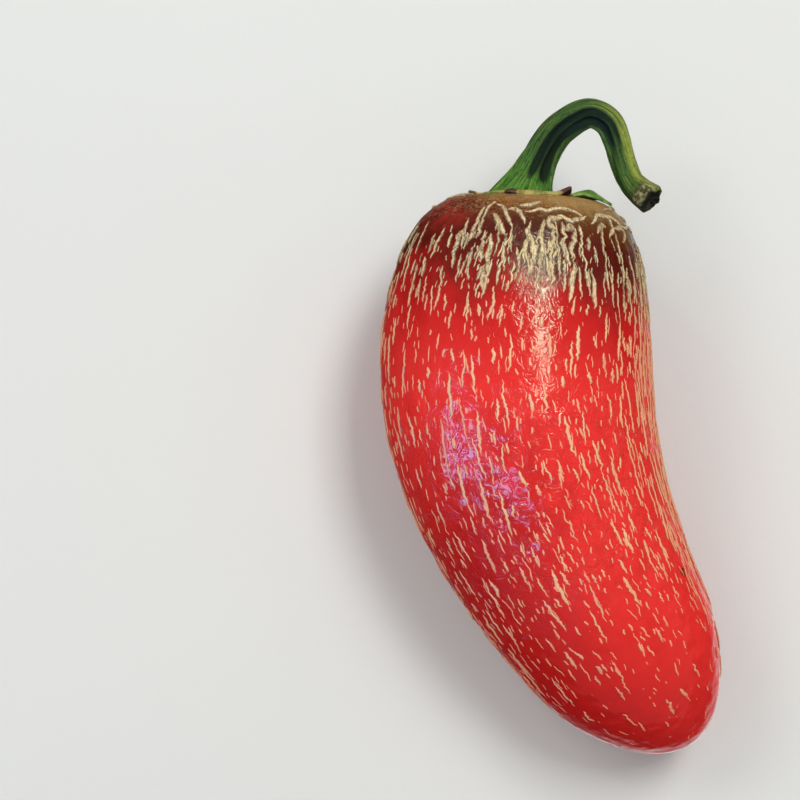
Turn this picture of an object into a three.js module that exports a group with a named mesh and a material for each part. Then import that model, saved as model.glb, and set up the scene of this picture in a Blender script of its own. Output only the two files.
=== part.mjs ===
// A ripe, corked chilli pepper lying on its side, with its calyx and its hooked stem still on.
// Millimetres, +Z up. The pepper lies on z = 0 on a flat spot of its belly, with the stem end
// towards +Y and the tip towards -Y. The origin is at the bottom centre of the whole pepper's box.
import * as THREE from "three";

// Driving dimensions of the pod
const POD_RADIUS = 19.3;
const POD_AXIS = new THREE.CubicBezierCurve3(
  new THREE.Vector3(-2.9, 32.8, 21.1),
  new THREE.Vector3(-3.8, 9.9, 19.8),
  new THREE.Vector3(-13.4, -2.0, 19.8),
  new THREE.Vector3(21.0, -45.2, 11.0),
);
const POD_LENGTH = POD_AXIS.getLength();
const SHOULDER = { length: 25.6, roundness: 2, rise: 0.225 };
const TAPER = { start: 30, share: 0.44, power: 1.32 };
const TIP = { length: 18, roundness: 2.1, fall: 0.48 };
const LOBES = { count: 3, depth: 0.012, crest: THREE.MathUtils.degToRad(75) };
const DIMPLE = { radius: 11, depth: 1.8, flatness: 4 };

// Driving dimensions of the corking, the raised scars that run along the skin
const CORK = {
  seed: 20,
  lines: 40, // lines of scars round the pod
  halfWidth: 0.5,
  height: 0.45,
  start: 3.5, // distance from the stem end, clear of the calyx
  end: 6, // distance from the tip
  scar: [3.5, 10], // shortest and longest scar
  gap: [1.5, 5], // shortest and longest bare skin between two scars, at the tip
  shoulderGap: 0.4, // share of those gaps that is left at the stem end
  wave: [16, 36], // shortest and longest wave of a line's sideways sway
  wander: 0.2, // that sway, as a share of the space between two lines
  widest: 0.28, // largest half-width, as a share of that space
};
const POD_ROWS = { crown: 5, crownLength: 2.2, body: 36, tip: 6, tipLength: 5 };

// Driving dimensions of the calyx, a thin cap with uneven pointed teeth
const CALYX = { radius: 8, thickness: 0.7, edge: 0.65, columns: 72 };
const CALYX_TEETH = [
  { angle: 14, reach: 3.9, half: 26, lift: 0.2 },
  { angle: 64, reach: 2.4, half: 13, lift: 1.6 },
  { angle: 107, reach: 1.5, half: 14, lift: 0.4 },
  { angle: 150, reach: 2.0, half: 10, lift: 0.4 },
  { angle: 178, reach: 3.9, half: 14, lift: 0.1 },
  { angle: 238, reach: 2.4, half: 16, lift: 0.5 },
  { angle: 306, reach: 3.0, half: 20, lift: 0.6 },
];
const CALYX_RINGS = [0.3, 0.55, 0.75, 0.9, 1]; // shares of the way from its centre to its edge

// Driving dimensions of the stem, which rises beside the calyx's centre, hooks over and ends in a cut
const STEM_PATH = [
  [-1.9, 37.3, 21.9],
  [-0.3, 40.1, 22.5],
  [1.7, 42.2, 23.1],
  [5.2, 43.9, 23.8],
  [8.0, 42.8, 23.9],
  [9.5, 40.1, 23.4],
  [10.3, 37.3, 23.1],
  [11.3, 34.6, 23.1],
  [12.6, 32.9, 23.6],
  [13.8, 31.7, 24.5],
];
const STEM = { foot: 5.2, aside: 1, base: 2.6, end: 1.55, flare: 2.2, swell: 0.5, swellLength: 4 };
const STEM_RIBS = { count: 5, depth: 0.09, footFade: 0.6, twist: THREE.MathUtils.degToRad(150) };
const STEM_GRID = { rows: 40, columns: 25, crowding: 1.25 }; // rings stand closer at the foot

const GAP = 0.3; // room between two neighbouring pieces
const UP = new THREE.Vector3(0, 0, 1);
const clamp = THREE.MathUtils.clamp;

// Seeded random numbers from 0 to 1, the same on every run
function seededRandom(seed) {
  let state = seed;
  return () => {
    state = (Math.imul(state, 1664525) + 1013904223) >>> 0;
    return state / 2 ** 32;
  };
}

// The point at a distance along a curve, with its three directions: along, sideways and over the top
function stationAt(curve, distance) {
  const share = clamp(distance / curve.getLength(), 0, 1);
  const at = curve.getPointAt(share);
  const along = curve.getTangentAt(share).normalize();
  const side = new THREE.Vector3().crossVectors(UP, along).normalize();
  const over = new THREE.Vector3().crossVectors(along, side);
  return { at, along, side, over };
}

// A point of a station's section, at an angle, a radius and a shift along the axis
function sectionPoint(station, angle, radius, shift = 0) {
  return station.at
    .clone()
    .addScaledVector(station.side, radius * Math.cos(angle))
    .addScaledVector(station.over, radius * Math.sin(angle))
    .addScaledVector(station.along, shift);
}

// One closed skin over a row of rings of equal size, with a pole point at each end
function closedSkin(rings, firstPole, lastPole) {
  const columns = rings[0].length;
  const points = [...rings.flat(), firstPole, lastPole];
  const first = points.length - 2;
  const last = points.length - 1;
  const corner = (ring, column) => ring * columns + (column % columns);
  const faces = [];
  for (let j = 0; j < columns; j++) {
    faces.push(first, corner(0, j + 1), corner(0, j));
    for (let i = 0; i + 1 < rings.length; i++) {
      faces.push(corner(i, j), corner(i, j + 1), corner(i + 1, j));
      faces.push(corner(i, j + 1), corner(i + 1, j + 1), corner(i + 1, j));
    }
    faces.push(corner(rings.length - 1, j), corner(rings.length - 1, j + 1), last);
  }
  const skin = new THREE.BufferGeometry().setFromPoints(points);
  skin.setIndex(faces);
  skin.computeVertexNormals();
  return skin;
}

// Half-width of the pod at a distance from its stem end, before the lobes
function podRadius(s) {
  const rise = 1 - clamp(1 - s / SHOULDER.length, 0, 1) ** SHOULDER.roundness;
  const taper = clamp((s - TAPER.start) / (POD_LENGTH - TAPER.start), 0, 1) ** TAPER.power;
  const nose = clamp(1 - (POD_LENGTH - s) / TIP.length, 0, 1) ** TIP.roundness;
  return POD_RADIUS * rise ** SHOULDER.rise * (1 - TAPER.share * taper) * (1 - nose) ** TIP.fall;
}

// The pod's three soft lobes, strongest at the shoulder
function lobe(s, angle) {
  const fade = 1 - s / POD_LENGTH;
  return 1 + LOBES.depth * fade * Math.cos(LOBES.count * (angle - LOBES.crest));
}

// How far the skin sinks under the calyx, at a distance from the axis
function dimple(radius) {
  return DIMPLE.depth * clamp(1 - (radius / DIMPLE.radius) ** DIMPLE.flatness, 0, 1) ** 2;
}

// Distance from the stem end at which the shoulder reaches a radius
function shoulderDrop(radius) {
  const rise = (radius / POD_RADIUS) ** (1 / SHOULDER.rise);
  return SHOULDER.length * (1 - (1 - rise) ** (1 / SHOULDER.roundness));
}

// Distances of the pod's rings from its stem end: close at the crown and the tip, even between
function podRows() {
  const { crown, crownLength, body, tip, tipLength } = POD_ROWS;
  const bodyLength = POD_LENGTH - crownLength - tipLength;
  const rows = [];
  for (let i = 1; i <= crown; i++) rows.push(crownLength * (i / crown) ** 2);
  for (let i = 1; i < body; i++) rows.push(crownLength + bodyLength * (i / body));
  for (let i = tip; i >= 1; i--) rows.push(POD_LENGTH - tipLength * (i / tip) ** 2);
  return rows;
}

// One line of scars: where each starts and ends, and how the line sways
function scarLine(random) {
  const between = ([low, high]) => low + (high - low) * random();
  const scars = [];
  let s = CORK.start + between(CORK.gap) * random();
  while (s < POD_LENGTH - CORK.end) {
    const length = between(CORK.scar);
    scars.push({ from: s, to: s + length });
    s += length + between(CORK.gap) * THREE.MathUtils.lerp(CORK.shoulderGap, 1, s / POD_LENGTH);
  }
  return { scars, wave: between(CORK.wave), phase: 2 * Math.PI * random() };
}

// Height of a line's scar at a distance from the stem end
function scarHeight(line, s) {
  const scar = line.scars.find(({ from, to }) => s > from && s < Math.min(to, POD_LENGTH - CORK.end));
  if (!scar) return 0;
  const share = (s - scar.from) / (scar.to - scar.from);
  return CORK.height * Math.sqrt(Math.sin(Math.PI * share));
}

// The pod: rings round its bent axis, each scar line with a crest and two feet, flat where it lies
function podGeometry() {
  const random = seededRandom(CORK.seed);
  const lines = Array.from({ length: CORK.lines }, () => scarLine(random));
  const space = (2 * Math.PI) / CORK.lines;
  const rings = podRows().map((s) => {
    const station = stationAt(POD_AXIS, s);
    const bare = podRadius(s);
    const foot = Math.min(CORK.halfWidth / bare, CORK.widest * space);
    const shift = s < SHOULDER.length ? dimple(bare) : 0;
    const point = (angle, height) => {
      const corner = sectionPoint(station, angle, bare * lobe(s, angle) + height, shift);
      corner.z = Math.max(corner.z, 0);
      return corner;
    };
    return lines.flatMap((line, i) => {
      const sway = CORK.wander * Math.sin((2 * Math.PI * s) / line.wave + line.phase);
      const crest = space * (i + sway);
      return [point(crest - foot, 0), point(crest, scarHeight(line, s)), point(crest + foot, 0)];
    });
  });
  const stemEnd = stationAt(POD_AXIS, 0);
  const tip = stationAt(POD_AXIS, POD_LENGTH);
  return closedSkin(rings, sectionPoint(stemEnd, 0, 0, dimple(0)), tip.at);
}

// How far a tooth reaches past the calyx's round edge at an angle in degrees, and how its end curls up
function toothAt(degrees) {
  for (const tooth of CALYX_TEETH) {
    const turn = THREE.MathUtils.euclideanModulo(degrees - tooth.angle + 180, 360) - 180;
    const share = 1 - Math.abs(turn) / tooth.half;
    if (share > 0) return { reach: tooth.reach * share, lift: tooth.lift * share };
  }
  return { reach: 0, lift: 0 };
}

// Height of the calyx's underside above the stem end's own plane, at a distance from the axis
function calyxUnder(radius) {
  return GAP - shoulderDrop(radius) - dimple(radius);
}

// The calyx: a cap that follows the pod's dimple and shoulder a gap above the skin
function calyxGeometry() {
  const station = stationAt(POD_AXIS, 0);
  const ring = (share, thickness) =>
    Array.from({ length: CALYX.columns }, (_, i) => {
      const degrees = (360 * i) / CALYX.columns;
      const { reach, lift } = toothAt(degrees);
      const radius = (CALYX.radius + reach) * share;
      const curl = lift * clamp((radius - CALYX.radius) / (reach || 1), 0, 1) ** 2;
      const height = calyxUnder(radius) + thickness + curl;
      return sectionPoint(station, THREE.MathUtils.degToRad(degrees), radius, -height);
    });
  const thick = (share) => THREE.MathUtils.lerp(CALYX.thickness, CALYX.edge, share ** 2);
  const top = CALYX_RINGS.map((share) => ring(share, thick(share)));
  const under = CALYX_RINGS.map((share) => ring(share, 0)).reverse();
  const topPole = sectionPoint(station, 0, 0, -calyxUnder(0) - CALYX.thickness);
  const underPole = sectionPoint(station, 0, 0, -calyxUnder(0));
  return closedSkin([...top, ...under], topPole, underPole);
}

// The stem: a five-ribbed section that flares into its foot, twists, hooks over and swells at its cut.
// Its foot lies along the calyx, and the rings turn square to the stem as the flare dies away.
function stemGeometry() {
  const crown = stationAt(POD_AXIS, 0);
  const seat = (radius) => calyxUnder(radius) + CALYX.thickness + GAP;
  const footHeight = seat(STEM.aside + STEM.foot * (1 + STEM_RIBS.depth));
  const foot = sectionPoint(crown, Math.PI, STEM.aside, -footHeight);
  const path = STEM_PATH.map((point) => new THREE.Vector3(...point));
  const curve = new THREE.CatmullRomCurve3([foot, ...path]);
  const length = curve.getLength();
  const rings = Array.from({ length: STEM_GRID.rows }, (_, i) => {
    const share = (i / (STEM_GRID.rows - 1)) ** STEM_GRID.crowding;
    const s = length * share;
    const station = stationAt(curve, s);
    const flare = Math.exp(-s / STEM.flare);
    station.side.lerp(crown.side.clone().negate(), flare).normalize();
    station.over.lerp(crown.over, flare).normalize();
    const swell = STEM.swell * clamp(1 - (length - s) / STEM.swellLength, 0, 1);
    const radius = THREE.MathUtils.lerp(STEM.base, STEM.end, share) + swell;
    const full = radius + (STEM.foot - STEM.base) * flare;
    return Array.from({ length: STEM_GRID.columns }, (_, j) => {
      const angle = (2 * Math.PI * j) / STEM_GRID.columns;
      const rib = Math.cos(STEM_RIBS.count * (angle - STEM_RIBS.twist * share));
      const depth = STEM_RIBS.depth * (1 - STEM_RIBS.footFade * flare);
      return sectionPoint(station, angle, full * (1 + depth * rib));
    });
  });
  return closedSkin(rings, sectionPoint(crown, Math.PI, STEM.aside, -seat(STEM.aside)), curve.getPoint(1));
}

// One named sub-part with its own material
function subPart(name, geometry, colour, roughness) {
  const material = new THREE.MeshStandardMaterial({ color: colour, roughness, metalness: 0 });
  const mesh = new THREE.Mesh(geometry, material);
  mesh.name = name;
  return mesh;
}

const pepper = new THREE.Group();
pepper.add(subPart("pod", podGeometry(), "#c81e1e", 0.3));
pepper.add(subPart("calyx", calyxGeometry(), "#6d6a2e", 0.7));
pepper.add(subPart("stem", stemGeometry(), "#4f7a33", 0.55));

// The pepper's box is centred over the origin; its belly already lies on z = 0
const middle = new THREE.Box3().setFromObject(pepper).getCenter(new THREE.Vector3());
pepper.position.set(-middle.x, -middle.y, 0);

export default pepper;
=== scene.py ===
# %% [markdown]
# # A corked chilli pepper
# One ripe pepper lies on a pale table: a thick red pod with corky growth scars, a small toothed calyx and
# a hooked green stem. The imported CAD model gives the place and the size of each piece. The lengths below
# are in millimetres, and the last nodes of each tree turn them into metres in the shared frame.

# %% Load the frame
import math

import bpy
from mathutils import Matrix, Vector


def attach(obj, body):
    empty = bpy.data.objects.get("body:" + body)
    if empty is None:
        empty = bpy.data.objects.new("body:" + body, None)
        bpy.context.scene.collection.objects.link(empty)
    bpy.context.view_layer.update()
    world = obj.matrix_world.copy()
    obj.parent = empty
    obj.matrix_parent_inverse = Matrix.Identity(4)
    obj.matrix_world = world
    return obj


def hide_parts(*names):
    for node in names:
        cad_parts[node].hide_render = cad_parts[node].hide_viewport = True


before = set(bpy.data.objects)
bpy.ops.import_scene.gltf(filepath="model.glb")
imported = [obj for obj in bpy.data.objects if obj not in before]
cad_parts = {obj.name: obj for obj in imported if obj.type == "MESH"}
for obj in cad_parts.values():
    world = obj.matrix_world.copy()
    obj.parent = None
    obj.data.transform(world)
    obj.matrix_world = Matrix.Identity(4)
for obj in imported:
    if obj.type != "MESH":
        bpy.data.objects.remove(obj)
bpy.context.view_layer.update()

# %% [markdown]
# ## Sockets that take arithmetic
# The shapes and the finishes of a fruit are formulas: a radius that swells and tapers, a redness that
# fades into brown. Placing each node by hand hides the formula. Here one small class wraps an output
# socket, so that a Python expression adds the Math nodes, in a geometry tree and in a material alike.

# %% A socket with operators
MEASURES = ("DOT_PRODUCT", "LENGTH")  # vector operations whose result is a number


def pick(sockets, key):
    """The socket at an index, or the first one in use with that name."""
    if isinstance(key, int):
        return sockets[key]
    return next(socket for socket in sockets if socket.name == key and socket.enabled)


def is_vector(value):
    return isinstance(value, tuple) or (isinstance(value, Wire) and value.socket.type == "VECTOR")


class Wire:
    """An output socket. Arithmetic on it adds Math nodes, and node() adds any other kind."""

    def __init__(self, tree, socket=None):
        self.tree = tree
        self.socket = socket

    def node(self, kind, settings=None, sockets=None, out=0):
        made = self.tree.nodes.new(kind)
        for name, value in (settings or {}).items():
            setattr(made, name, value)
        for key, value in (sockets or {}).items():
            if isinstance(value, Wire):
                self.tree.links.new(value.socket, pick(made.inputs, key))
            else:
                pick(made.inputs, key).default_value = value
        return Wire(self.tree, pick(made.outputs, out))

    def other(self, name):
        """Another output of the same node."""
        return Wire(self.tree, pick(self.socket.node.outputs, name))

    def do(self, operation, *values, first=None):
        values = (self if first is None else first,) + values
        kind = "ShaderNodeVectorMath" if any(map(is_vector, values)) else "ShaderNodeMath"
        out = "Value" if operation in MEASURES or kind == "ShaderNodeMath" else "Vector"
        return self.node(kind, {"operation": operation}, dict(enumerate(values)), out)

    def __add__(self, value):
        return self.do("ADD", value)

    def __sub__(self, value):
        return self.do("SUBTRACT", value)

    def __mul__(self, value):
        if is_vector(self) and not is_vector(value):
            return self.node("ShaderNodeVectorMath", {"operation": "SCALE"}, {0: self, 3: value})
        if is_vector(value) and isinstance(value, Wire) and not is_vector(self):
            return value * self
        return self.do("MULTIPLY", value)

    def __truediv__(self, value):
        return self.do("DIVIDE", value)

    def __pow__(self, value):
        return self.do("POWER", value)

    def __abs__(self):
        return self.do("ABSOLUTE")

    def __radd__(self, value):
        return self.do("ADD", self, first=value)

    def __rsub__(self, value):
        return self.do("SUBTRACT", self, first=value)

    def __rtruediv__(self, value):
        return self.do("DIVIDE", self, first=value)

    __rmul__ = __mul__

    def cos(self):
        return self.do("COSINE")

    def sin(self):
        return self.do("SINE")

    def at_least(self, low):
        return self.do("MAXIMUM", low)

    def clamp(self):
        return self.node("ShaderNodeClamp", {}, {"Value": self})

    def ramp(self, low, high):
        """0 at low, 1 at high, smooth between them; low may be the larger one."""
        sockets = {"Value": self, "From Min": low, "From Max": high}
        return self.node("ShaderNodeMapRange", {"interpolation_type": "SMOOTHSTEP"}, sockets)

    def xyz(self):
        apart = self.node("ShaderNodeSeparateXYZ", {}, {0: self}, "X")
        return apart, apart.other("Y"), apart.other("Z")

    def noise(self, scale, detail=2.0, roughness=0.5, distortion=0.0):
        """Smooth noise from 0 to 1 at this vector."""
        sockets = {"Vector": self, "Scale": scale, "Detail": detail}
        sockets.update({"Roughness": roughness, "Distortion": distortion})
        return self.node("ShaderNodeTexNoise", {}, sockets)

    def blend(self, under, over):
        """A colour between two, with this value as the share of the second."""
        return self.node("ShaderNodeMix", {"data_type": "RGBA"}, {0: self, 6: under, 7: over}, 2)


print("sockets take arithmetic")

# %% Short forms that many formulas share
DEGREES = 180 / math.pi  # in one radian


def join(x, y, z):
    """One vector from three values, at least one of them a wire."""
    wire = next(value for value in (x, y, z) if isinstance(value, Wire))
    return wire.node("ShaderNodeCombineXYZ", {}, {0: x, 1: y, 2: z})


def around(turn, height, radius=None):
    """A vector that goes round with a turn: its cosine and its sine, times a radius, and a height."""
    across, up = turn.cos(), turn.sin()
    if radius is not None:
        across, up = radius * across, radius * up
    return join(across, up, height)


def bell(value, centre, width):
    """A soft bump of height 1 round a centre, zero at a width away."""
    return (abs(value - centre) / width).ramp(1.0, 0.0)


def stray(noise, reach):
    """A noise as a distance to either side."""
    return (noise - 0.5) * reach


def angle_from(degrees, centre):
    """How many degrees a turn lies from a centre, the shorter way round."""
    return abs((degrees - centre + 540).do("FLOORED_MODULO", 360.0) - 180)


print("short forms are ready")

# %% [markdown]
# ## Growing a mesh with Geometry Nodes
# Each tree has named inputs for its sizes. The modifier's inputs are set by the sockets' identifiers
# before the object is first evaluated. The evaluated result is then copied into a plain mesh, because an
# exported model keeps no modifiers and no instances.

# %% Helpers for the trees
SHIFT = (-0.1924, 0.4413, 0.0)  # from the drawing's origin to the shared frame's
METRES = 0.001  # in one millimetre
KINDS = {
    int: "NodeSocketInt", float: "NodeSocketFloat", tuple: "NodeSocketVector",
    bpy.types.Object: "NodeSocketObject",
}


def new_tree(name, sizes):
    """An empty geometry tree with these named inputs: its starting wire, and a wire for each input."""
    tree = bpy.data.node_groups.new(name, "GeometryNodeTree")
    face = tree.interface
    face.new_socket("Geometry", in_out="INPUT", socket_type="NodeSocketGeometry")
    face.new_socket("Geometry", in_out="OUTPUT", socket_type="NodeSocketGeometry")
    for label, value in sizes.items():
        face.new_socket(label, in_out="INPUT", socket_type=KINDS[type(value)])
    start = Wire(tree).node("NodeGroupInput")
    inputs = [socket for socket in start.socket.node.outputs if socket.name]
    return start, {socket.name: Wire(tree, socket) for socket in inputs}


def keep(geometry, name, value):
    """Store a value on the points under a name."""
    kind = "FLOAT_VECTOR" if is_vector(value) else "FLOAT"
    return geometry.node(
        "GeometryNodeStoreNamedAttribute",
        {"data_type": kind, "domain": "POINT"},
        {"Geometry": geometry, "Name": name, "Value": value},
    )


def kept(wire, name, kind="FLOAT_VECTOR"):
    """Read a stored value back in a geometry tree."""
    return wire.node("GeometryNodeInputNamedAttribute", {"data_type": kind}, {"Name": name}, "Attribute")


def position(wire):
    return wire.node("GeometryNodeInputPosition")


def moved(geometry, place):
    return geometry.node("GeometryNodeSetPosition", {}, {"Geometry": geometry, "Position": place})


def to_metres(geometry):
    return moved(geometry, (position(geometry) + SHIFT) * METRES)


def end_tree(geometry, material):
    """Smooth shading, Realize Instances and Set Material, then the tree's output."""
    smooth = geometry.node("GeometryNodeSetShadeSmooth", {}, {"Geometry": geometry})
    real = smooth.node("GeometryNodeRealizeInstances", {}, {"Geometry": smooth})
    done = real.node("GeometryNodeSetMaterial", {}, {"Geometry": real, "Material": material})
    exit_node = done.tree.nodes.new("NodeGroupOutput")
    done.tree.links.new(done.socket, exit_node.inputs["Geometry"])
    return done.tree


print("tree helpers are ready")

# %% From a tree to a piece
def grow(name, tree, sizes, mesh=None):
    """A plain mesh object with what the tree makes of these sizes."""
    piece = bpy.data.objects.new(name, mesh.copy() if mesh else bpy.data.meshes.new(name))
    bpy.context.collection.objects.link(piece)
    modifier = piece.modifiers.new("grow", "NODES")
    modifier.node_group = tree
    for item in tree.interface.items_tree:
        if item.in_out == "INPUT" and item.name in sizes:
            modifier[item.identifier] = sizes[item.name]
    graph = bpy.context.evaluated_depsgraph_get()
    made = bpy.data.meshes.new_from_object(
        piece.evaluated_get(graph), preserve_all_data_layers=True, depsgraph=graph
    )
    piece.modifiers.remove(modifier)
    piece.data = made
    made.name = name
    made.calc_loop_triangles()
    print(name, len(made.loop_triangles), "triangles")
    return piece


def settle(piece, node):
    """The piece rides on the part's one body, and the CAD node that it stands for is hidden."""
    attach(piece, "root")
    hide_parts(node)


print("pieces can be grown and settled")

# %% [markdown]
# ## Starting a material
# Colours are given as the eye reads them on a screen, from 0 to 255, and are turned into linear light
# once. Every finish ends in one Principled shader: the values that change over the surface are linked,
# and a value that is the same all over is set on the shader's own socket.

# %% Helpers for the materials
def tone(red, green, blue):
    """A linear colour from screen values."""
    parts = [value / 255 for value in (red, green, blue)]
    return tuple(p / 12.92 if p <= 0.04045 else ((p + 0.055) / 1.055) ** 2.4 for p in parts) + (1.0,)


def new_finish(name):
    """An empty material and its starting wire."""
    material = bpy.data.materials.new(name)
    material.use_nodes = True
    material.node_tree.nodes.clear()
    return material, Wire(material.node_tree)


def read(wire, name):
    """A vector that the piece's points carry."""
    return wire.node("ShaderNodeAttribute", {"attribute_name": name}, {}, "Vector")


def end_finish(wire, colour, roughness, height, depth, constants):
    """The shader, with a bump of this height field, depth metres at full height."""
    bump = wire.node("ShaderNodeBump", {}, {"Height": height, "Distance": depth, "Strength": 1.0})
    sockets = {"Base Color": colour, "Roughness": roughness, "Normal": bump, **constants}
    shader = wire.node("ShaderNodeBsdfPrincipled", {}, sockets)
    exit_node = wire.tree.nodes.new("ShaderNodeOutputMaterial")
    wire.tree.links.new(shader.socket, exit_node.inputs["Surface"])


print("material helpers are ready")

# %% [markdown]
# ## The skin's finish
# Ripe skin is glossy and bright red. Towards the shoulder it stays unripe: crimson and maroon first, then
# olive, russet and straw beside the calyx. A painted picture could show that, but it would have a seam
# and one fixed sharpness. So the colours are zones with wandering edges, laid over the straightened pod:
# each point carries its place in a straight pod, as millimetres right of its axis, up from it and along
# it.

# %% Zones on the skin
pod_skin, wire = new_finish("pod_skin")
place = read(wire, "straight")
right, up, along = place.xyz()
drift = place.noise(0.11, 2.0)
fine = place.noise(0.9, 3.0)
mottle = place.noise(0.32, 3.0, 0.6)

shoulder = (along + stray(drift, 12) + stray(mottle, 6)).ramp(19.0, 8.0)
dusk = (along + stray(drift, 10) + stray(mottle, 6) - right * 0.1).ramp(30.0, 16.0)
olive = (along + stray(mottle, 5) - right * 0.22).ramp(5.5, 1.5)
russet = (along + stray(mottle, 5) + right * 0.1).ramp(6.0, 1.0)
russet = russet * (right + stray(drift, 10)).ramp(-9.0, -3.0)
straw = (along + stray(fine, 3) - right * 0.1).ramp(3.4, 1.2)
straw = straw * (0.6 + (right + stray(mottle, 6)).ramp(0.0, 5.0) * 0.4)
rosy = bell(right, -13.0, 9.0) * along.ramp(9.0, 4.0)
# painted shade: the lower left flank and the tip are painted a darker red, where less light falls
painted_shade = (right + stray(mottle, 8)).ramp(3.0, -14.0) * along.ramp(26.0, 50.0) * 0.7
painted_shade = painted_shade + (1 - painted_shade) * along.ramp(48.0, 82.0) * (0.34 - right.ramp(2.0, 9.0) * 0.2)
# painted shade: a patch on the upper left, under the violet reflections, is painted a darker red
cloud_and_painted_shade = bell(right, -6.0, 11.0) * bell(along, 40.0, 15.0) * up.ramp(-4.0, 4.0)
print("skin has", len(wire.tree.nodes), "nodes for its zones")

# %% Colours of the skin
RIPE = tone(232, 51, 47)
# the skin's own deep red, also used as the red of its painted shade
DEEP_RED_AND_SHADE = tone(168, 10, 14)
CRIMSON = tone(180, 20, 20)
MAROON = tone(84, 22, 13)
ROSE = tone(160, 44, 34)
OLIVE = tone(100, 64, 18)
RUSSET = tone(146, 92, 38)
STRAW = tone(178, 142, 88)
CHESTNUT = tone(70, 36, 18)
CREAM = tone(206, 168, 118)

colour = painted_shade.blend(RIPE, DEEP_RED_AND_SHADE)
colour = (cloud_and_painted_shade * mottle.ramp(0.25, 0.6) * 0.5).blend(colour, DEEP_RED_AND_SHADE)
colour = ((mottle - 0.45) * 0.9).clamp().blend(colour, DEEP_RED_AND_SHADE)
colour = (dusk * 0.75).blend(colour, CRIMSON)
colour = shoulder.blend(colour, MAROON)
colour = (rosy * mottle.ramp(0.3, 0.6) * 0.8).blend(colour, ROSE)
colour = (olive * 0.95).blend(colour, OLIVE)
colour = (russet * 0.7 * fine.ramp(0.25, 0.6)).blend(colour, RUSSET)
colour = (straw * 0.75).blend(colour, STRAW)
craze = abs((place * (1.0, 1.0, 1.6)).noise(0.75, 4.0, 0.65, 1.1) - 0.5)
pale = craze.ramp(0.035, 0.008) * (along + stray(mottle, 4)).ramp(6.0, 2.5)
colour = (craze.ramp(0.1, 0.2) * along.ramp(7.0, 3.0) * 0.3).blend(colour, CHESTNUT)
colour = (pale * 0.45).blend(colour, CREAM)
print("skin colours blended from ripe red to straw")

# %% Bark on the shoulder, flecks and a blemish
BARK = tone(64, 36, 20)
FLECK = tone(240, 130, 104)
SPOT = tone(104, 44, 24)
BLEMISH = (12.0, 9.4, 61.9)  # right, up and along

lengthened = place * (1.0, 1.0, 0.3)
fibre = lengthened.noise(1.5, 4.0, 0.65, 1.4)
bark = bell(right + stray(mottle, 8), -0.5, 11.0) * up.ramp(4.0, 10.0)
bark = bark * (along + stray(fine, 3)).ramp(2.5, 6.0) * (along + stray(fibre, 16)).ramp(16.0, 9.0)
colour = (bark * fibre.ramp(0.62, 0.4) * 0.8).blend(colour, BARK)
drawn = lengthened + join(fine * 0.5, mottle * 0.5, 0.0)
cells = wire.node("ShaderNodeTexVoronoi", {}, {"Vector": drawn, "Scale": 1.3}, "Distance")
chance = wire.node("ShaderNodeSeparateColor", {}, {0: cells.other("Color")}, 0)
flecks = (cells - chance * 0.2).ramp(0.02, -0.03) * fine.ramp(0.35, 0.6)
colour = (flecks * 0.75).blend(colour, FLECK)
blemish = (place - BLEMISH).do("LENGTH") + stray(fine, 1.2)
colour = (blemish.ramp(0.95, 0.6) * 0.85).blend(colour, SPOT)
print("bark, flecks and one blemish added")

# %% Crinkles and gloss
SKIN_RELIEF = 0.0001
SKIN_GLOSS = {
    "Specular IOR Level": 0.13, "Subsurface Weight": 0.06,
    "Subsurface Radius": (1.0, 0.25, 0.15), "Subsurface Scale": 0.002,
}

swirl = (place.noise(0.5, 2.0, 0.5, 0.8) * 36).sin()
groove = abs((place.noise(0.45, 2.0, 0.5, 0.9) * 28).sin()).ramp(0.75, 0.0)
ripple = place.noise(0.4, 1.0)
upper = along.ramp(31.0, 25.0)
swirled = upper + (1 - upper) * along.ramp(38.0, 30.0) * right.ramp(-6.0, -2.0)
height = swirl * swirled * 0.11
height = height - groove * (1 - upper) * along.ramp(66.0, 50.0) * 0.45
height = height + ripple * (3.4 - upper * 1.6)
height = height + flecks * 0.3 + bark * fibre * 0.8 + pale * 0.8
roughness = 0.07 + upper * 0.07 + fine * 0.04 + bark * 0.06
end_finish(wire, colour, roughness, height, SKIN_RELIEF, SKIN_GLOSS)
print("skin finish has", len(wire.tree.nodes), "nodes")

# %% [markdown]
# ## The pod
# The pod is a closed skin over sections along a bent axis. Modelling it by pushing points would lose the
# link to the drawing, so a grid is wrapped round the same rule: its columns run round the pod and its
# rows along it, crowded towards both ends. Merging by distance closes the seam and the two poles.

# %% Grids, sections and seams
MERGE = 0.002


def wrapped_grid(wire, columns, rows):
    """A grid whose sides are to be joined: its mesh, the turn in radians and the share along it."""
    sockets = {"Size X": 1.0, "Size Y": 1.0, "Vertices X": columns, "Vertices Y": rows}
    mesh = wire.node("GeometryNodeMeshGrid", {}, sockets, "Mesh")
    across, share, _ = mesh.other("UV Map").xyz()
    return mesh, across * (2 * math.pi), share


def station(curve, distance):
    """Where a section lies on a curve: its place, and its directions along, sideways and over."""
    sockets = {"Curves": curve, "Length": distance}
    place = curve.node("GeometryNodeSampleCurve", {"mode": "LENGTH"}, sockets, "Position")
    along = place.other("Tangent")
    side = along.do("CROSS_PRODUCT", along, first=(0.0, 0.0, 1.0)).do("NORMALIZE")
    return place, along, side, along.do("CROSS_PRODUCT", side)


def on_section(centre, side, over, turn, radius):
    """A point of a section, at this turn from its side direction towards its over direction."""
    return centre + side * (radius * turn.cos()) + over * (radius * turn.sin())


def dimple(radius, depth, mouth):
    """How deep the crown is pressed in at this radius."""
    return depth * (1 - (radius / mouth) ** 4).clamp() ** 2


def sewn(mesh):
    return mesh.node("GeometryNodeMergeByDistance", {}, {"Geometry": mesh, "Distance": MERGE})


print("grids can be wrapped and sewn")

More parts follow.
